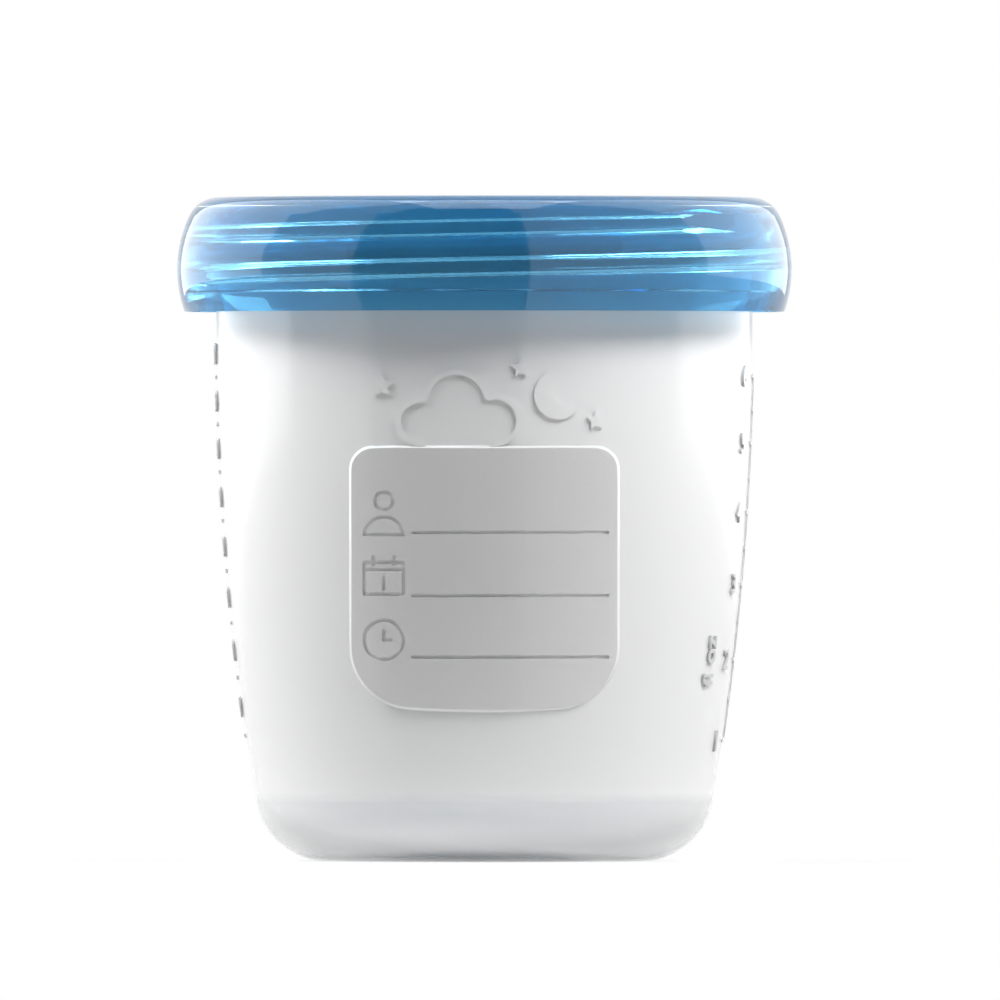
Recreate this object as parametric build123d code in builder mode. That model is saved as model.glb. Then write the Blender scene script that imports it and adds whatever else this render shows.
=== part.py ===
from build123d import *
from math import acos, asin, cos, degrees, pi, radians, sin, sqrt, tan
import os

# A screw-lid cup for keeping milk in a freezer, in millimetres.
# The origin is the middle of the foot, on the table. +Z is up, and the writing panel faces -Y.

# Cup
CUP_HEIGHT = 82.4          # table to rim
NECK_R = 34.2              # outside of the straight neck
NECK_LENGTH = 12.4         # rim down to where the wall starts to draw in
WALL_ARC_R = 385.0         # the wall draws in along one long arc that leaves the neck upright
WALL = 1.5
FLOOR = 2.2
OUTER_CORNER_R = 9.0       # round between the wall and the foot
INNER_CORNER_R = 7.0
FOOT_RING_WIDTH = 2.8      # flat ring that the cup stands on
FOOT_HOLLOW = 0.8          # the floor inside that ring stands this far off the table
RIM_ROUND = 0.3

# Thread, right-hand with one start, on the neck and in the lid
LEAD = 4.7
RIDGE_WIDTH = 2.5          # at the foot of a ridge
FLANK_ANGLE = 15.0         # of each flank, from square to the wall
CUP_RIDGE = 2.2            # height of the ridge on the neck
LID_RIDGE = 1.9            # height of the ridge in the lid
CREST_ROUND = 0.6          # along both edges of a ridge's crest
THREAD_TURNS = 1.4         # length of each ridge
CUP_THREAD_Z = 8.3         # rim down to the lower end of the cup's ridge
CUP_THREAD_START = 10.0    # degrees from +X, anticlockwise from above, to that end
LID_THREAD_LAG = 175.0     # degrees by which the lid's ridge starts after the cup's
THREAD_PLAY = 0.15         # between the two ridges when the lid is tight
THREAD_CREST_GAP = 0.5     # cup's crest to the lid's wall
RIDGE_ROOT = 0.3           # a ridge reaches this far into its wall

# Seal ring
SEAL_THICKNESS = 1.0
SEAL_GAP = 0.3             # ring to the lid's rib inside it and to the lid's corner outside it
SEAL_EDGE = 0.2

# Lid
LID_PLATE = 1.2            # thickness of the top
LID_WALL = 2.3             # skirt at its widest
LID_SKIRT = 13.4           # underside of the top down to the hem
LID_ARC_R = 16.0           # the skirt's outside is bowed
LID_WIDEST = 5.4           # hem up to where the skirt is widest
LID_CORNER_R = 4.0
LID_INNER_CORNER_R = 2.6
LID_EDGE = 0.3
LID_MOUTH_STEP = 0.8       # the skirt's mouth is this much wider inside, up to a short slope
LID_MOUTH_DEPTH = 2.7      # hem up to the middle of that slope
LID_MOUTH_SLOPE = 0.3      # height of that slope
PLUG_GAP = 0.8             # rib in the mouth to the cup's inside
PLUG_WALL = 1.3
PLUG_DEPTH = 3.0
RECESS_DEPTH = 1.0         # hollow in the top that takes the foot of the next cup
STACK_GAP = 0.5            # that hollow's edge to the next cup's wall, drawn down to its table line

# Writing panel, on the front of the wall
PANEL_WIDTH = 34.3
PANEL_TOP = 52.9
PANEL_BOTTOM = 19.1
PANEL_CROWN = 1.0          # bow of the bottom edge
PANEL_TOP_ROUND = 3.0
PANEL_BOTTOM_ROUND = 8.0
PANEL_RAISE = 0.5
PANEL_BEVEL = 0.35
LINE_LEFT = -9.25
LINE_RIGHT = 15.8
LINE_HEIGHTS = (41.9, 33.9, 26.1)
LINE_WIDTH = 0.45
ENGRAVING = 0.3
SIGN_X = -12.75            # middle of the three signs
SIGN_RISE = 2.2            # line up to the middle of its sign
SIGN_SIZE = 5.4
SIGN_STROKE = 0.45
HEAD_R = 1.35              # person
HEADING_RISE = 1.1         # calendar, middle up to the line under its heading
RING_RISE = 2.2            # calendar, middle up to its two binding rings
RING_SPACING = 2.7
RING_LENGTH = 1.5
DAY_DROP = 0.7             # calendar, middle down to the one stroke on its page
DAY_LENGTH = 1.8
MINUTE_HAND = 1.6          # clock
HOUR_HAND = 1.3

# Sky motif above the panel and cloud low on the back
MOTIF_RAISE = 0.35
MOTIF_STROKE = 0.7
CLOUD_PUFFS = ((-8.2, 3.0, 3.1), (-3.6, 5.4, 4.3), (1.4, 3.2, 3.3))  # x, height over the panel, radius
CLOUD_FOOT = 1.0           # the cloud goes on down behind the panel by this much
MOON = (9.4, 6.4, 3.1)
MOON_BITE = (1.7, 0.9, 2.6)  # from the moon's middle
STARS = ((-13.0, 7.6, 1.6), (4.6, 9.8, 1.3), (14.2, 3.2, 1.3))
STAR_POINTS = 5
STAR_WAIST = 0.5           # inner over outer radius
BACK_PUFFS = ((-11.0, 1.4, 3.6), (-4.5, 3.2, 5.0), (4.2, 2.4, 4.4), (10.8, 1.2, 3.4))
BACK_CLOUD_Z = 12.7
BACK_CLOUD_FOOT = 2.2

# Volume scales
MARK_RAISE = 0.25
MARK_WIDTH = 0.5
ML_STEP = 20               # numbered marks
ML_FULL = 180
ML_MARK_LENGTH = 2.6
OZ_FULL = 6
ML_PER_OZ = 28.41
MM3_PER_ML = 1000
FILL_STEP = 0.05           # slice in which the cup's content is summed
OZ_MARK_LENGTH = 3.2
OZ_HALF_LENGTH = 1.8

# Places that follow from the sizes above
NECK_FOOT_Z = CUP_HEIGHT - NECK_LENGTH
MOUTH_R = NECK_R - WALL
FLOOR_Z = FOOT_HOLLOW + FLOOR
FLANK = tan(radians(FLANK_ANGLE))
LID_INSIDE_Z = CUP_HEIGHT + SEAL_THICKNESS
LID_TOP_Z = LID_INSIDE_Z + LID_PLATE
LID_HEM_Z = LID_INSIDE_Z - LID_SKIRT
LID_INSIDE_R = NECK_R + CUP_RIDGE + THREAD_CREST_GAP
LID_OUTSIDE_R = LID_INSIDE_R + LID_WALL
LID_MOUTH_R = LID_INSIDE_R + LID_MOUTH_STEP
LID_MOUTH_Z = LID_HEM_Z + LID_MOUTH_DEPTH
PLUG_R = MOUTH_R - PLUG_GAP
EXTRUDE_REACH = 2 * NECK_R  # outlines are drawn through the axis and run out past the wall
SEAL_INNER_R = PLUG_R + SEAL_GAP
SEAL_OUTER_R = LID_INSIDE_R - LID_INNER_CORNER_R - SEAL_GAP


def wall_radius(z):
    """Outside radius of the cup's wall at height z, below the neck."""
    return NECK_R - WALL_ARC_R + sqrt(WALL_ARC_R**2 - (NECK_FOOT_Z - z) ** 2)


def wall_arc(outward, low_z):
    """The wall's long arc, moved outward, as three points from low_z up to the neck."""
    middle_z = (low_z + NECK_FOOT_Z) / 2
    return [(wall_radius(z) + outward, z) for z in (low_z, middle_z, NECK_FOOT_Z)]


def lid_radius(z):
    """Outside radius of the lid's bowed skirt at height z."""
    return LID_OUTSIDE_R - LID_ARC_R + sqrt(LID_ARC_R**2 - (z - LID_HEM_Z - LID_WIDEST) ** 2)


def fill_height(millilitres):
    """Height of the surface when the cup holds this much, summed in thin slices."""
    volume = 0
    z = FLOOR_Z
    while volume < millilitres * MM3_PER_ML:
        z += FILL_STEP
        below_corner = max(FLOOR_Z + INNER_CORNER_R - z, 0)
        rounding = INNER_CORNER_R - sqrt(INNER_CORNER_R**2 - below_corner**2)
        volume += pi * (wall_radius(z) - WALL - rounding) ** 2 * FILL_STEP
    return z


def wall_skin(inner, outer):
    """Ring that follows the wall, between two distances from its outside."""
    with BuildPart() as skin:
        with BuildSketch(Plane.XZ):
            with BuildLine():
                outside = ThreePointArc(*wall_arc(outer, 0))
                inside = ThreePointArc(*wall_arc(inner, 0))
                Line(outside @ 0, inside @ 0)
                Line(outside @ 1, inside @ 1)
            make_face()
        revolve(axis=Axis.Z)
    return skin.part


def raised(outline, height, bevel=0.0):
    """The outline as a low relief on the wall, with its upper edges bevelled."""
    with BuildPart() as relief:
        extrude(outline, amount=EXTRUDE_REACH)
        add(wall_skin(-WALL / 2, height), mode=Mode.INTERSECT)
        if bevel:
            outer_faces = relief.faces().filter_by(lambda face: is_outer(face, height))
            chamfer(outer_faces.edges(), bevel)
    return relief.part


def is_outer(face, height):
    """True for a face that lies on the wall's surface raised by height."""
    middle = face.center()
    distance = sqrt(middle.X**2 + middle.Y**2) - wall_radius(middle.Z)
    return abs(distance - height) < WALL / 10 and face.geom_type != GeomType.PLANE


def helical_ridge(root_r, crest_r):
    """Thread ridge from angle 0 and z = 0 upward, fading out along a flat at both ends.

    The flat lies half a root's depth inside the smaller of the two radii.
    """
    outward = 1 if crest_r > root_r else -1
    depth = abs(crest_r - root_r)
    root_half = RIDGE_WIDTH / 2 + RIDGE_ROOT * FLANK
    crest_half = RIDGE_WIDTH / 2 - depth * FLANK
    flat_r = min(root_r, crest_r) - RIDGE_ROOT / 2
    large_r = max(root_r, crest_r) + RIDGE_ROOT
    reach = large_r - flat_r + sqrt(large_r**2 - flat_r**2)
    fade = degrees(acos(flat_r / large_r))
    with BuildPart() as ridge:
        with BuildLine():
            path = Helix(pitch=LEAD, height=LEAD * THREAD_TURNS, radius=root_r)
        with BuildSketch(Plane(origin=path @ 0, x_dir=(outward, 0, 0), z_dir=path % 0)):
            section = Polygon(
                (-RIDGE_ROOT, -root_half),
                (depth, -crest_half),
                (depth, crest_half),
                (-RIDGE_ROOT, root_half),
                align=None,
            )
            fillet(section.vertices().group_by(Axis.X)[-1], CREST_ROUND)
        sweep(path=path.edges()[0], is_frenet=True)
        for way, turns in ((-1, 0), (1, THREAD_TURNS)):
            angle = 360 * turns
            side = -way
            if outward < 0:
                angle -= way * fade
                side = way
            with Locations(Location((0, 0, LEAD * turns), (0, 0, angle))):
                with Locations((flat_r + outward * reach / 2, side * reach / 2, 0)):
                    Box(reach, reach, LEAD, mode=Mode.SUBTRACT)
    return ridge.part


TABLE_R = wall_radius(0)
WALL_LEAN = asin(NECK_FOOT_Z / WALL_ARC_R)
FOOT_RING_R = TABLE_R - OUTER_CORNER_R * tan((pi / 2 - WALL_LEAN) / 2) - FOOT_RING_WIDTH
RECESS_R = TABLE_R + STACK_GAP

# Writing panel and the lines and signs engraved in it

PANEL_HALF = PANEL_WIDTH / 2
with BuildSketch(Plane.XZ) as panel_outline:
    with BuildLine():
        Polyline(
            (-PANEL_HALF, PANEL_BOTTOM + PANEL_CROWN),
            (-PANEL_HALF, PANEL_TOP),
            (PANEL_HALF, PANEL_TOP),
            (PANEL_HALF, PANEL_BOTTOM + PANEL_CROWN),
        )
        ThreePointArc(
            (-PANEL_HALF, PANEL_BOTTOM + PANEL_CROWN),
            (0, PANEL_BOTTOM),
            (PANEL_HALF, PANEL_BOTTOM + PANEL_CROWN),
        )
    make_face()
    fillet(panel_outline.vertices().group_by(Axis.Y)[0], PANEL_BOTTOM_ROUND)
    fillet(panel_outline.vertices().group_by(Axis.Y)[-1], PANEL_TOP_ROUND)

with BuildSketch(Plane.XZ) as writing_lines:
    with Locations(*[((LINE_LEFT + LINE_RIGHT) / 2, z) for z in LINE_HEIGHTS]):
        SlotOverall(LINE_RIGHT - LINE_LEFT, LINE_WIDTH)

PERSON_Z, CALENDAR_Z, CLOCK_Z = [z + SIGN_RISE for z in LINE_HEIGHTS]
with BuildSketch(Plane.XZ) as person_sign:
    with Locations((SIGN_X, PERSON_Z + HEAD_R + SIGN_STROKE)):
        Circle(HEAD_R)
        Circle(HEAD_R - SIGN_STROKE, mode=Mode.SUBTRACT)
with BuildSketch(Plane.XZ) as shoulders_sign:
    with Locations((SIGN_X, PERSON_Z - SIGN_SIZE / 2)):
        Circle(SIGN_SIZE / 2)
    with Locations((SIGN_X, PERSON_Z - SIGN_SIZE)):
        Rectangle(SIGN_SIZE, SIGN_SIZE, mode=Mode.SUBTRACT)
    offset(amount=-SIGN_STROKE, mode=Mode.SUBTRACT)

with BuildSketch(Plane.XZ) as calendar_sign:
    with Locations((SIGN_X, CALENDAR_Z)):
        RectangleRounded(SIGN_SIZE, SIGN_SIZE - 2 * SIGN_STROKE, SIGN_STROKE)
    offset(amount=-SIGN_STROKE, mode=Mode.SUBTRACT)
    with Locations((SIGN_X, CALENDAR_Z + HEADING_RISE)):
        Rectangle(SIGN_SIZE, SIGN_STROKE)
    with Locations((SIGN_X, CALENDAR_Z + RING_RISE)):
        with GridLocations(RING_SPACING, 0, 2, 1):
            SlotOverall(RING_LENGTH, SIGN_STROKE, rotation=90)
    with Locations((SIGN_X, CALENDAR_Z - DAY_DROP)):
        SlotOverall(DAY_LENGTH, SIGN_STROKE, rotation=90)

with BuildSketch(Plane.XZ) as clock_sign:
    with Locations((SIGN_X, CLOCK_Z)):
        Circle(SIGN_SIZE / 2)
        Circle(SIGN_SIZE / 2 - SIGN_STROKE, mode=Mode.SUBTRACT)
    with Locations((SIGN_X, CLOCK_Z + (MINUTE_HAND - SIGN_STROKE) / 2)):
        SlotOverall(MINUTE_HAND, SIGN_STROKE, rotation=90)
    with Locations((SIGN_X + (HOUR_HAND - SIGN_STROKE) / 2, CLOCK_Z)):
        SlotOverall(HOUR_HAND, SIGN_STROKE)

# Cloud, moon and stars that stand behind the panel's upper edge, and a cloud low on the back

BACK = Plane(origin=(0, 0, 0), x_dir=(-1, 0, 0), z_dir=(0, 1, 0))


def cloud_outline(plane, puffs, base_z, foot):
    """Outline of a cloud of round puffs with a flat foot that ends foot below base_z."""
    left, right = puffs[0], puffs[-1]
    with BuildSketch(plane) as cloud:
        for x, rise, radius in puffs:
            with Locations((x, base_z + rise)):
                Circle(radius)
        with Locations(((left[0] + right[0]) / 2, base_z + (left[1] - foot) / 2)):
            Rectangle(right[0] - left[0], left[1] + foot)
        offset(amount=-MOTIF_STROKE, mode=Mode.SUBTRACT)
    return cloud.sketch


def star_corners(radius):
    """Corners of a star, from its upper point round, by turns at its radius and at its waist."""
    corners = []
    for corner in range(2 * STAR_POINTS):
        reach = radius * STAR_WAIST if corner % 2 else radius
        turn = pi * corner / STAR_POINTS
        corners.append((reach * sin(turn), reach * cos(turn)))
    return corners


with BuildSketch(Plane.XZ) as sky:
    with Locations((MOON[0], PANEL_TOP + MOON[1])):
        Circle(MOON[2])
        with Locations((MOON_BITE[0], MOON_BITE[1])):
            Circle(MOON_BITE[2], mode=Mode.SUBTRACT)
    for x, rise, radius in STARS:
        with Locations((x, PANEL_TOP + rise)):
            Polygon(*star_corners(radius), align=None)

# Volume scales: millilitres on the left at -X, fluid ounces on the right at +X

LEFT = Plane(origin=(0, 0, 0), x_dir=(0, -1, 0), z_dir=(-1, 0, 0))
RIGHT = Plane(origin=(0, 0, 0), x_dir=(0, 1, 0), z_dir=(1, 0, 0))
with BuildSketch(LEFT) as ml_marks:
    for millilitres in range(ML_STEP + ML_STEP // 2, ML_FULL, ML_STEP):
        with Locations((0, fill_height(millilitres))):
            Rectangle(ML_MARK_LENGTH, MARK_WIDTH)

with BuildSketch(RIGHT) as oz_marks:
    OZ_TOP = fill_height(OZ_FULL * ML_PER_OZ)
    OZ_BOTTOM = fill_height(ML_PER_OZ)
    with Locations((0, (OZ_TOP + OZ_BOTTOM) / 2)):
        Rectangle(MARK_WIDTH, OZ_TOP - OZ_BOTTOM + MARK_WIDTH)
    for half in range(2, 2 * OZ_FULL + 1):
        length = OZ_HALF_LENGTH if half % 2 else OZ_MARK_LENGTH
        with Locations((-length / 2, fill_height(half * ML_PER_OZ / 2))):
            Rectangle(length, MARK_WIDTH)

panel_relief = raised(panel_outline.sketch, PANEL_RAISE, PANEL_BEVEL)
sky_relief = raised(sky.sketch, MOTIF_RAISE)
front_outline = cloud_outline(Plane.XZ, CLOUD_PUFFS, PANEL_TOP, CLOUD_FOOT)
back_outline = cloud_outline(BACK, BACK_PUFFS, BACK_CLOUD_Z, BACK_CLOUD_FOOT)
front_cloud = raised(front_outline, MOTIF_RAISE)
back_cloud = raised(back_outline, MOTIF_RAISE)
ml_relief = raised(ml_marks.sketch, MARK_RAISE)
oz_relief = raised(oz_marks.sketch, MARK_RAISE)
engraved_skin = wall_skin(PANEL_RAISE - ENGRAVING, PANEL_RAISE + WALL)
cup_ridge = helical_ridge(NECK_R, NECK_R + CUP_RIDGE)
lid_ridge = helical_ridge(LID_INSIDE_R, LID_INSIDE_R - LID_RIDGE)

with BuildPart() as engraving:
    for outline in (writing_lines, person_sign, shoulders_sign, calendar_sign, clock_sign):
        extrude(outline.sketch, amount=EXTRUDE_REACH)
    add(engraved_skin, mode=Mode.INTERSECT)

with BuildPart() as cup:
    with BuildSketch(Plane.XZ) as outside:
        with BuildLine():
            wall_line = ThreePointArc(*wall_arc(0, 0))
            Polyline(
                wall_line @ 0,
                (FOOT_RING_R, 0),
                (FOOT_RING_R - FOOT_HOLLOW, FOOT_HOLLOW),
                (0, FOOT_HOLLOW),
                (0, CUP_HEIGHT),
                (NECK_R, CUP_HEIGHT),
                wall_line @ 1,
            )
        make_face()
        fillet(outside.vertices().sort_by_distance((TABLE_R, 0))[0], OUTER_CORNER_R)
    revolve(axis=Axis.Z)
    with BuildSketch(Plane.XZ) as inside:
        with BuildLine():
            inner_line = ThreePointArc(*wall_arc(-WALL, FLOOR_Z))
            Polyline(
                inner_line @ 0,
                (0, FLOOR_Z),
                (0, CUP_HEIGHT),
                (MOUTH_R, CUP_HEIGHT),
                inner_line @ 1,
            )
        make_face()
        inner_corner = inside.vertices().sort_by_distance((wall_radius(FLOOR_Z) - WALL, FLOOR_Z))[0]
        fillet(inner_corner, INNER_CORNER_R)
    revolve(axis=Axis.Z, mode=Mode.SUBTRACT)
    fillet(cup.faces().sort_by(Axis.Z)[-1].edges(), RIM_ROUND)
    with Locations((0, 0, CUP_HEIGHT - CUP_THREAD_Z)):
        add(cup_ridge, rotation=(0, 0, CUP_THREAD_START))
    for relief in (panel_relief, front_cloud, sky_relief, back_cloud, ml_relief, oz_relief):
        add(relief)
    add(engraving.part, mode=Mode.SUBTRACT)

with BuildPart() as seal_ring:
    with BuildSketch(Plane.XY.offset(CUP_HEIGHT)):
        Circle(SEAL_OUTER_R)
        Circle(SEAL_INNER_R, mode=Mode.SUBTRACT)
    extrude(amount=SEAL_THICKNESS)
    fillet(seal_ring.edges(), SEAL_EDGE)

with BuildPart() as screw_lid:
    RECESS_Z = LID_TOP_Z - RECESS_DEPTH
    PLUG_FOOT_Z = LID_INSIDE_Z - PLUG_DEPTH
    with BuildSketch(Plane.XZ) as section:
        with BuildLine():
            skirt = ThreePointArc(
                (lid_radius(LID_HEM_Z), LID_HEM_Z),
                (LID_OUTSIDE_R, LID_HEM_Z + LID_WIDEST),
                (lid_radius(LID_TOP_Z), LID_TOP_Z),
            )
            Polyline(
                skirt @ 1,
                (RECESS_R, LID_TOP_Z),
                (RECESS_R, RECESS_Z),
                (0, RECESS_Z),
                (0, LID_INSIDE_Z - RECESS_DEPTH),
                (PLUG_R - PLUG_WALL, LID_INSIDE_Z - RECESS_DEPTH),
                (PLUG_R - PLUG_WALL, PLUG_FOOT_Z),
                (PLUG_R, PLUG_FOOT_Z),
                (PLUG_R, LID_INSIDE_Z),
                (LID_INSIDE_R, LID_INSIDE_Z),
                (LID_INSIDE_R, LID_MOUTH_Z + LID_MOUTH_SLOPE / 2),
                (LID_MOUTH_R, LID_MOUTH_Z - LID_MOUTH_SLOPE / 2),
                (LID_MOUTH_R, LID_HEM_Z),
                skirt @ 0,
            )
        make_face()
        corners = section.vertices()
        fillet(corners.sort_by_distance((lid_radius(LID_TOP_Z), LID_TOP_Z))[0], LID_CORNER_R)
        fillet(corners.sort_by_distance((LID_INSIDE_R, LID_INSIDE_Z))[0], LID_INNER_CORNER_R)
        edges_to_round = [
            corners.sort_by_distance(point)[0]
            for point in (
                (RECESS_R, LID_TOP_Z),
                (RECESS_R, RECESS_Z),
                (PLUG_R - PLUG_WALL, PLUG_FOOT_Z),
                (PLUG_R, PLUG_FOOT_Z),
                (LID_MOUTH_R, LID_HEM_Z),
                (lid_radius(LID_HEM_Z), LID_HEM_Z),
            )
        ]
        fillet(edges_to_round, LID_EDGE)
    revolve(axis=Axis.Z)
    lag_rise = LEAD * LID_THREAD_LAG / 360
    ridges_apart = RIDGE_WIDTH - (CUP_RIDGE + THREAD_CREST_GAP) * FLANK + THREAD_PLAY
    with Locations((0, 0, CUP_HEIGHT - CUP_THREAD_Z - ridges_apart + lag_rise)):
        add(lid_ridge, rotation=(0, 0, CUP_THREAD_START + LID_THREAD_LAG))

os.makedirs("parts", exist_ok=True)
for name, piece in (("cup", cup), ("seal_ring", seal_ring), ("screw_lid", screw_lid)):
    piece.part.label = name
    export_step(piece.part, f"parts/{name}.step")
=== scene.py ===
from math import cos, pi, radians, sin, sqrt

import bpy
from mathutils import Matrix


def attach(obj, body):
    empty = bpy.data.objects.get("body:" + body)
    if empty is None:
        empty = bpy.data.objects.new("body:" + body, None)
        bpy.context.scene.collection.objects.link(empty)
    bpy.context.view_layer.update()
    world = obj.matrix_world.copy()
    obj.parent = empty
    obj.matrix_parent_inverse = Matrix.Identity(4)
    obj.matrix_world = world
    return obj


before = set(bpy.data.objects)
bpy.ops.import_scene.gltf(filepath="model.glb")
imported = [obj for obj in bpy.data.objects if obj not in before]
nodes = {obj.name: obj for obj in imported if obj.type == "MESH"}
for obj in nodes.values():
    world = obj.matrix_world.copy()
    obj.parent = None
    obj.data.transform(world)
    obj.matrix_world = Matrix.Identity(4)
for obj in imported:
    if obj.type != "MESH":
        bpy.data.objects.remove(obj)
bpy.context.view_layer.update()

# Cup: one injection moulding of natural polypropylene, milky but clear, glossy from a polished mould.
# Its writing panel is spark-eroded in the mould, so that ink holds on it, and its foot is the clearest
# part, where the mould is hottest. The wall lets less light through near the lid than lower down: painted
# shade under the lid.

NECK_R = 0.0342
NECK_FOOT_Z = 0.0700
WALL_ARC_R = 0.385
PANEL_HALF = 0.0172
PANEL_Y = -0.021           # the matt face lies further forward
PANEL_FROST = 0.00045      # the matt face stands at least this proud of the wall
FROST_EDGE = 0.0001
CLEAR_Z = 0.0082           # top of the clear foot
CLEAR_EDGE = 0.0006
LID_SHADE_Z = 0.055             # the wall lets least light through down to here, a painted shade under the lid, and gets clearer
LID_SHADE_END_Z = 0.015             # down to here, where the painted shade under the lid has faded
LID_SHADE_THROUGH = 0.06           # share of the light that goes straight through, here and in the next two; kept low near the lid as painted shade
LOWER_WALL_THROUGH = 0.16
CLEAR_FOOT = 0.45
MILKY = (0.80, 0.80, 0.80, 1.0)
CLEAR = (0.94, 0.94, 0.94, 1.0)
MATT = (0.59, 0.59, 0.59, 1.0)
POLYPROPYLENE_IOR = 1.49
FLOW_SCALE = 45
FLOW_ROUGHNESS = (0.14, 0.22)
FOOT_ROUGHNESS = 0.03
PANEL_ROUGHNESS = 0.5
GRAIN_SCALE = 6000
GRAIN_DETAIL = 3.0
GRAIN_DEPTH = 0.0001


def feed(socket, value):
    """Links another node's output to a socket, or sets the socket to a number or colour."""
    if isinstance(value, bpy.types.NodeSocket):
        socket.id_data.links.new(value, socket)
    else:
        socket.default_value = value


def feed_all(node, **values):
    """Feeds the named sockets of a node, with spaces written as underscores."""
    for name, value in values.items():
        feed(node.inputs[name.replace("_", " ")], value)


def plastic(name, colour, **values):
    """A Principled material, and its shader."""
    material = bpy.data.materials.new(name)
    material.use_nodes = True
    shader = material.node_tree.nodes["Principled BSDF"]
    feed_all(shader, Base_Color=colour, **values)
    return material, shader


def maths(tree, operation, *values):
    """A Math node whose inputs are numbers or other nodes' outputs."""
    node = tree.nodes.new("ShaderNodeMath")
    node.operation = operation
    for socket, value in zip(node.inputs, values):
        feed(socket, value)
    return node.outputs[0]


def step(tree, value, start, end, low=0.0, high=1.0):
    """Fades from low to high while value goes from start to end."""
    node = tree.nodes.new("ShaderNodeMapRange")
    feed_all(node, Value=value, From_Min=start, From_Max=end, To_Min=low, To_Max=high)
    return node.outputs[0]


def blend(tree, share, first, second):
    """Goes from the first colour to the second as share goes from 0 to 1."""
    node = tree.nodes.new("ShaderNodeMix")
    node.data_type = "RGBA"
    feed_all(node, Factor=share, A=first, B=second)
    return node.outputs["Result"]


def object_place(tree):
    """Object coordinates, whole and as x, y and z."""
    place = tree.nodes.new("ShaderNodeTexCoord").outputs["Object"]
    axes = tree.nodes.new("ShaderNodeSeparateXYZ")
    feed(axes.inputs[0], place)
    return place, *axes.outputs


def axis_distance(tree, x, y):
    """Distance from the cup's axis."""
    square = maths(tree, "ADD", maths(tree, "MULTIPLY", x, x), maths(tree, "MULTIPLY", y, y))
    return maths(tree, "SQRT", square)


def noise(tree, place, scale, detail=2.0):
    """Noise about 0.5."""
    node = tree.nodes.new("ShaderNodeTexNoise")
    feed_all(node, Vector=place, Scale=scale, Detail=detail)
    return node.outputs["Fac"]


def mottled(tree, place, scale, low, high):
    """Soft patches that range from low to high."""
    return step(tree, noise(tree, place, scale), 0.3, 0.7, low, high)


def bump(tree, shader, height, strength, distance):
    """A bump on the shader's normal."""
    node = tree.nodes.new("ShaderNodeBump")
    feed_all(node, Strength=strength, Distance=distance, Height=height)
    feed_all(shader, Normal=node.outputs["Normal"])


def milky_plastic(name, milky_or_shaded_colour):
    """Milky polypropylene, matt on the writing panel and clearer towards the foot, letting less light
    through near the lid as painted shade under it.
    """
    material, shader = plastic(
        name,
        milky_or_shaded_colour,
        IOR=POLYPROPYLENE_IOR,
        Subsurface_Weight=0.15,
        Subsurface_Radius=(1.0, 1.0, 1.0),
        Subsurface_Scale=0.002,
        Coat_Weight=0.4,
        Coat_Roughness=0.04,
    )
    tree = material.node_tree
    place, x, y, z = object_place(tree)
    drop = maths(tree, "MAXIMUM", maths(tree, "SUBTRACT", NECK_FOOT_Z, z), 0.0)
    arc = maths(tree, "SQRT", maths(tree, "SUBTRACT", WALL_ARC_R**2, maths(tree, "MULTIPLY", drop, drop)))
    wall = maths(tree, "ADD", arc, NECK_R - WALL_ARC_R)
    proud = maths(tree, "SUBTRACT", axis_distance(tree, x, y), wall)
    front = step(tree, y, PANEL_Y + 0.001, PANEL_Y - 0.001)
    framed = step(tree, maths(tree, "ABSOLUTE", x), PANEL_HALF, PANEL_HALF - FROST_EDGE)
    face = step(tree, proud, PANEL_FROST - FROST_EDGE / 2, PANEL_FROST)
    matt = maths(tree, "MULTIPLY", maths(tree, "MULTIPLY", front, framed), face)
    clear = step(tree, z, CLEAR_Z + CLEAR_EDGE, CLEAR_Z - CLEAR_EDGE)
    # less light through the wall near the lid: painted shade under the lid
    haze_and_painted_shade = step(tree, z, LID_SHADE_Z, LID_SHADE_END_Z, LID_SHADE_THROUGH, LOWER_WALL_THROUGH)
    haze_and_painted_shade = step(tree, clear, 0.0, 1.0, haze_and_painted_shade, CLEAR_FOOT)
    haze_and_painted_shade = step(tree, matt, 0.0, 1.0, haze_and_painted_shade, 0.0)
    rough = mottled(tree, place, FLOW_SCALE, *FLOW_ROUGHNESS)
    rough = step(tree, clear, 0.0, 1.0, rough, FOOT_ROUGHNESS)
    rough = step(tree, matt, 0.0, 1.0, rough, PANEL_ROUGHNESS)
    colour = blend(tree, matt, blend(tree, clear, milky_or_shaded_colour, CLEAR), MATT)
    feed_all(shader, Transmission_Weight=haze_and_painted_shade, Base_Color=colour, Roughness=rough)
    grain = noise(tree, place, GRAIN_SCALE, GRAIN_DETAIL)
    bump(tree, shader, maths(tree, "MULTIPLY", grain, matt), strength=0.25, distance=GRAIN_DEPTH)
    return material


def dress(node, material):
    """Gives a CAD node this material alone."""
    nodes[node].data.materials.clear()
    nodes[node].data.materials.append(material)


dress("cup", milky_plastic("milky_polypropylene", MILKY))

# Volume figures: engraved in the mould, so they stand proud of the cup beside its marks. Millilitres are
# on the left and fluid ounces on the right, with each unit turned to read upwards. They are the cup's own
# plastic, and their grey is painted shade for the light their moulded edges turn away.

WALL = 0.0015
FLOOR_Z = 0.0030
INNER_CORNER_R = 0.007
FIGURE_HEIGHT = 0.0026
DIGIT_RISE = 0.70          # height of a digit in a font of size 1
FIGURE_PROUD = 0.00036
FIGURE_ROOT = 0.0003
STROKE_SWELL = 0.00007
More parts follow.
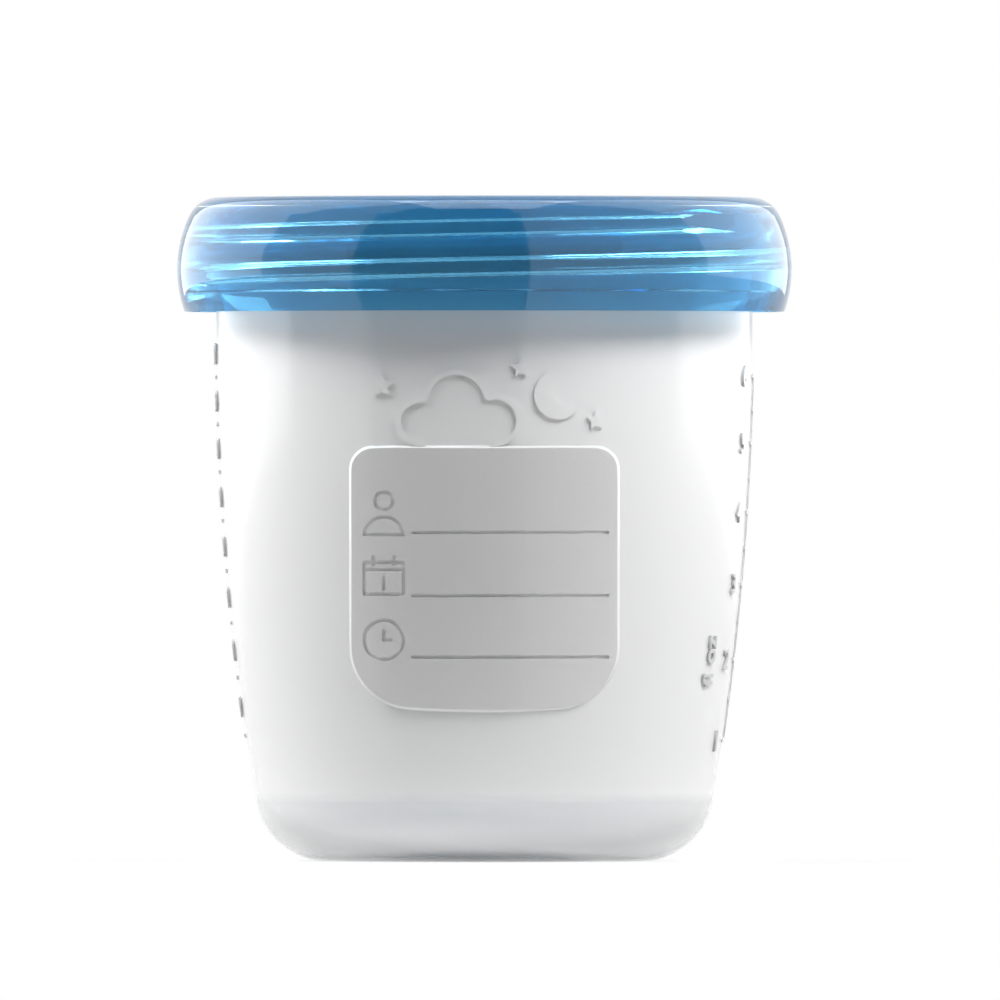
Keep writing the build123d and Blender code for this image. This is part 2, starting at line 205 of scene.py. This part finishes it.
# painted shade: the figures' grey stands for the light their raised edges turn away, not for any ink
FIGURE_PAINTED_SHADE = (0.55, 0.55, 0.56, 1.0)
ML_FIRST = 40
ML_LAST = 180
ML_STEP = 20
ML_AZIMUTH = 180
ML_UNIT_AZIMUTH = 155
OZ_LAST = 6
OZ_AZIMUTH = -15
OZ_UNIT_AZIMUTH = -26
UNIT_HEIGHT = 0.0255
CUBIC_METRES_PER_ML = 1e-6
ML_PER_OZ = 28.41
FILL_STEP = 0.00005


def wall_radius(z):
    """Outside radius of the cup's wall at height z."""
    return NECK_R - WALL_ARC_R + sqrt(WALL_ARC_R**2 - max(NECK_FOOT_Z - z, 0) ** 2)


def fill_height(millilitres):
    """Height of the surface when the cup holds this much, summed in thin slices."""
    volume = 0
    z = FLOOR_Z
    while volume < millilitres * CUBIC_METRES_PER_ML:
        z += FILL_STEP
        below_corner = max(FLOOR_Z + INNER_CORNER_R - z, 0)
        rounding = INNER_CORNER_R - sqrt(INNER_CORNER_R**2 - below_corner**2)
        volume += pi * (wall_radius(z) - WALL - rounding) ** 2 * FILL_STEP
    return z


def raised_word(word, azimuth, height, turn=0.0):
    """A word that stands proud of the wall, bent round it and centred at azimuth from +X."""
    bpy.ops.object.select_all(action="DESELECT")
    bpy.ops.object.text_add()
    letters = bpy.context.object
    letters.data.body = word
    letters.data.size = FIGURE_HEIGHT / DIGIT_RISE
    letters.data.align_x = "CENTER"
    letters.data.offset = STROKE_SWELL
    letters.data.extrude = (FIGURE_PROUD + FIGURE_ROOT) / 2
    bpy.ops.object.convert(target="MESH")
    for point in letters.data.vertices:
        across, up, out = point.co
        up -= FIGURE_HEIGHT / 2
        across, up = across * cos(turn) - up * sin(turn), across * sin(turn) + up * cos(turn)
        radius = wall_radius(height + up) + out + (FIGURE_PROUD - FIGURE_ROOT) / 2
        angle = radians(azimuth) + across / wall_radius(height)
        point.co = (radius * cos(angle), radius * sin(angle), height + up)
    bpy.ops.object.mode_set(mode="EDIT")
    bpy.ops.mesh.select_all(action="SELECT")
    bpy.ops.mesh.remove_doubles(threshold=1e-6)
    bpy.ops.mesh.normals_make_consistent(inside=False)
    bpy.ops.object.mode_set(mode="OBJECT")
    return letters


def raised_scale(name, words):
    """All the words of one scale as one piece in the cup's plastic, greyed as painted shade for their
    moulded edges.
    """
    bpy.ops.object.select_all(action="DESELECT")
    for word in words:
        word.select_set(True)
    bpy.context.view_layer.objects.active = words[0]
    bpy.ops.object.join()
    scale = bpy.context.object
    scale.name = name
    scale.data.materials.append(shaded_figure_pp)
    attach(scale, "cup")


shaded_figure_pp = milky_plastic("raised_figures_painted_shade", FIGURE_PAINTED_SHADE)
ml_marks = range(ML_FIRST, ML_LAST + 1, ML_STEP)
ml_words = [raised_word(str(ml), ML_AZIMUTH, fill_height(ml)) for ml in ml_marks]
ml_words.append(raised_word("ml", ML_UNIT_AZIMUTH, UNIT_HEIGHT, pi / 2))
raised_scale("millilitre_figures", ml_words)
oz_marks = range(1, OZ_LAST + 1)
oz_words = [raised_word(str(oz), OZ_AZIMUTH, fill_height(oz * ML_PER_OZ)) for oz in oz_marks]
oz_words.append(raised_word("fl oz", OZ_UNIT_AZIMUTH, UNIT_HEIGHT, pi / 2))
raised_scale("ounce_figures", oz_words)

# Seal ring: cut from a soft silicone sheet, milky and a little uneven to the touch. It lies flat on the
# rim inside the lid.

SILICONE = (0.82, 0.87, 0.91, 1.0)
SILICONE_ROUGHNESS = (0.30, 0.42)
PATCH_SCALE = 120
DIMPLE_SCALE = 900
DIMPLE_DEPTH = 0.00005
silicone, silicone_shader = plastic(
    "silicone",
    SILICONE,
    Subsurface_Weight=1.0,
    Subsurface_Radius=(1.0, 1.0, 1.0),
    Subsurface_Scale=0.002,
)
tree = silicone.node_tree
place = object_place(tree)[0]
bump(tree, silicone_shader, noise(tree, place, DIMPLE_SCALE), strength=0.2, distance=DIMPLE_DEPTH)
feed_all(silicone_shader, Roughness=mottled(tree, place, PATCH_SCALE, *SILICONE_ROUGHNESS))
dress("seal_ring", silicone)

# Lid: blue polypropylene, moulded in one piece, so clear that its thread shows through the skirt. The
# colour masterbatch leaves it faintly streaked along the flow, from the middle of the top to the hem.

BLUE = (0.12, 0.46, 0.74, 1.0)
STREAK_BLUE = (0.16, 0.52, 0.79, 1.0)
STREAK_SCALE = 30
SHEEN_SCALE = 90
LID_ROUGHNESS = (0.015, 0.04)
blue_pp, blue_shader = plastic(
    "blue_polypropylene",
    BLUE,
    IOR=POLYPROPYLENE_IOR,
    Specular_IOR_Level=0.75,
    Transmission_Weight=0.92,
)
tree = blue_pp.node_tree
place = object_place(tree)[0]
streaks = step(tree, noise(tree, place, STREAK_SCALE), 0.35, 0.65)
feed_all(
    blue_shader,
    Base_Color=blend(tree, streaks, BLUE, STREAK_BLUE),
    Roughness=mottled(tree, place, SHEEN_SCALE, *LID_ROUGHNESS),
)
dress("screw_lid", blue_pp)

# Table: a white sheet under the cup on a wide pale floor. It keeps the cup's shadow, and shows as plain
# white to the camera, through the plastic and in reflections, but for those of a black cloth. The cloth
# hangs in front, from left of the camera to a little right of it, and shows in reflections alone.

CLOTH_LEFT = radians(-51)
CLOTH_RIGHT = radians(17)
CLOTH_CORNER_Y = -0.02
CLOTH_HEM = (0.09, 0.10)   # the cloth's mirror image on the floor starts this far from the cup's axis
CLOTH_BLACK = (0.02, 0.02, 0.02, 1.0)
SHADOW_FADE = (0.035, 0.06)
SHADOW_WHITE = 0.8         # share of the plain white that covers the shadow close to the cup
SHEET_FADE = (0.03, 0.07)
SHEET_WHITE = (0.78, 0.78, 0.78, 1.0)
FLOOR_GREY = (0.3, 0.3, 0.3, 1.0)


def cloth(tree, x, y):
    """1 where the cloth hangs, seen from the cup towards x and y."""
    azimuth = maths(tree, "ARCTAN2", x, maths(tree, "MULTIPLY", y, -1.0))
    left = maths(tree, "GREATER_THAN", azimuth, CLOTH_LEFT)
    return maths(tree, "MULTIPLY", left, maths(tree, "LESS_THAN", azimuth, CLOTH_RIGHT))


def shown_white(tree, black):
    """Two masks: what shows as plain white, to the camera, through the plastic or mirrored beside the
    black, and what is mirrored as black."""
    rays = tree.nodes.new("ShaderNodeLightPath").outputs
    mirrored = maths(tree, "MULTIPLY", rays["Is Glossy Ray"], maths(tree, "SUBTRACT", 1.0, black))
    seen = maths(tree, "MAXIMUM", rays["Is Camera Ray"], rays["Is Transmission Ray"])
    seen = maths(tree, "MAXIMUM", seen, mirrored)
    direct = maths(tree, "LESS_THAN", rays["Diffuse Depth"], 0.5)
    return maths(tree, "MULTIPLY", seen, direct), maths(tree, "MULTIPLY", rays["Is Glossy Ray"], black)


bpy.ops.mesh.primitive_plane_add(size=60.0, location=(0, 0, 0))
floor = bpy.context.object
floor.name = "floor"
white, floor_shader = plastic("white_floor", FLOOR_GREY, Roughness=0.9)
tree = white.node_tree
_, x, y, _ = object_place(tree)
away = axis_distance(tree, x, y)
black = cloth(tree, x, maths(tree, "SUBTRACT", y, CLOTH_CORNER_Y))
seen, dark = shown_white(tree, maths(tree, "MULTIPLY", black, step(tree, away, *CLOTH_HEM)))
seen = maths(tree, "MULTIPLY", seen, step(tree, away, *SHADOW_FADE, SHADOW_WHITE, 1.0))
sheet = blend(tree, step(tree, away, *SHEET_FADE), SHEET_WHITE, FLOOR_GREY)
feed_all(floor_shader, Base_Color=blend(tree, dark, sheet, CLOTH_BLACK))
glow = tree.nodes.new("ShaderNodeEmission")
mix = tree.nodes.new("ShaderNodeMixShader")
for socket, output in zip(mix.inputs, (seen, floor_shader.outputs[0], glow.outputs[0])):
    feed(socket, output)
feed_all(tree.nodes["Material Output"], Surface=mix.outputs[0])
floor.data.materials.append(white)

# Studio: a pale room with five softboxes round the cup and three lit boards behind and above it. The
# softboxes light the cup but aren't mirrored in it, and the boards show in reflections and through the
# plastic without lighting it.

AMBIENT = 0.20
LAMP_WIDTH = 0.5
LAMP_HEIGHT = 0.4
LAMP_Z = 0.05              # height of the point that the softboxes aim at, from 1 m away
BOARD_WIDTH = 1.2
BOARD_HEIGHT = 3.0
BOARD_DISTANCE = 0.9


def softbox(name, width, height, radiance, location, rotation):
    """A flat lamp that shines along its own -Z."""
    bpy.ops.object.light_add(type="AREA", location=location, rotation=rotation)
    lamp = bpy.context.object
    lamp.name = name
    lamp.data.shape = "RECTANGLE"
    lamp.data.size = width
    lamp.data.size_y = height
    lamp.data.energy = radiance * pi * width * height
    return lamp


def studio_lamp(name, azimuth, elevation, radiance):
    """A softbox at degrees round from the camera towards +X and up from the floor."""
    turn, tilt = radians(azimuth), radians(elevation)
    place = (sin(turn) * cos(tilt), -cos(turn) * cos(tilt), LAMP_Z + sin(tilt))
    lamp = softbox(name, LAMP_WIDTH, LAMP_HEIGHT, radiance, place, (radians(90 - elevation), 0, turn))
    lamp.visible_glossy = False


def reflected_board(name, azimuth, radiance):
    """A tall lit board that stands at azimuth degrees round from the camera towards +X."""
    turn = radians(azimuth)
    place = (BOARD_DISTANCE * sin(turn), -BOARD_DISTANCE * cos(turn), BOARD_HEIGHT / 2)
    board = softbox(name, BOARD_WIDTH, BOARD_HEIGHT, radiance, place, (radians(90), 0, turn))
    board.visible_diffuse = False


world = bpy.data.worlds.new("studio")
bpy.context.scene.world = world
world.use_nodes = True
sky = world.node_tree
direction = sky.nodes.new("ShaderNodeSeparateXYZ")
feed(direction.inputs[0], sky.nodes.new("ShaderNodeTexCoord").outputs["Generated"])
seen, dark = shown_white(sky, cloth(sky, direction.outputs[0], direction.outputs[1]))
lit = maths(sky, "MULTIPLY", AMBIENT, maths(sky, "SUBTRACT", 1.0, dark))
feed_all(sky.nodes["Background"], Color=(1, 1, 1, 1), Strength=maths(sky, "MAXIMUM", seen, lit))
studio_lamp("right_front_softbox", azimuth=50, elevation=48, radiance=11.5)
studio_lamp("right_softbox", azimuth=80, elevation=40, radiance=6.0)
studio_lamp("right_back_softbox", azimuth=110, elevation=35, radiance=6.0)
studio_lamp("left_softbox", azimuth=-80, elevation=48, radiance=11.5)
studio_lamp("left_back_softbox", azimuth=-110, elevation=30, radiance=11.5)
reflected_board("right_board", azimuth=125, radiance=1.5)
reflected_board("left_board", azimuth=-125, radiance=1.7)
top_board = softbox(
    "top_board", width=0.5, height=0.85, radiance=2.8, location=(0, 0.03, 1.1), rotation=(0, 0, 0)
)
top_board.visible_diffuse = False

# Camera: level and square on to the writing panel, a little right of the cup's axis. Its lens is so long
# that the picture has hardly any perspective.

LENS = 1500
SENSOR_WIDTH = 36
FRAME_WIDTH = 0.1275       # what the picture takes in from side to side
VIEW_X = 0.00198
VIEW_Z = 0.0460
camera_place = (VIEW_X, -LENS * FRAME_WIDTH / SENSOR_WIDTH, VIEW_Z)
bpy.ops.object.camera_add(location=camera_place, rotation=(radians(90), 0, 0))
camera = bpy.context.object
camera.data.sensor_width = SENSOR_WIDTH
camera.data.lens = LENS
camera.data.clip_end = 50
bpy.context.scene.camera = camera
bpy.context.scene.view_settings.view_transform = "Standard"
bpy.context.scene.cycles.glossy_bounces = 12
bpy.context.scene.cycles.transmission_bounces = 24
bpy.context.scene.cycles.max_bounces = 32
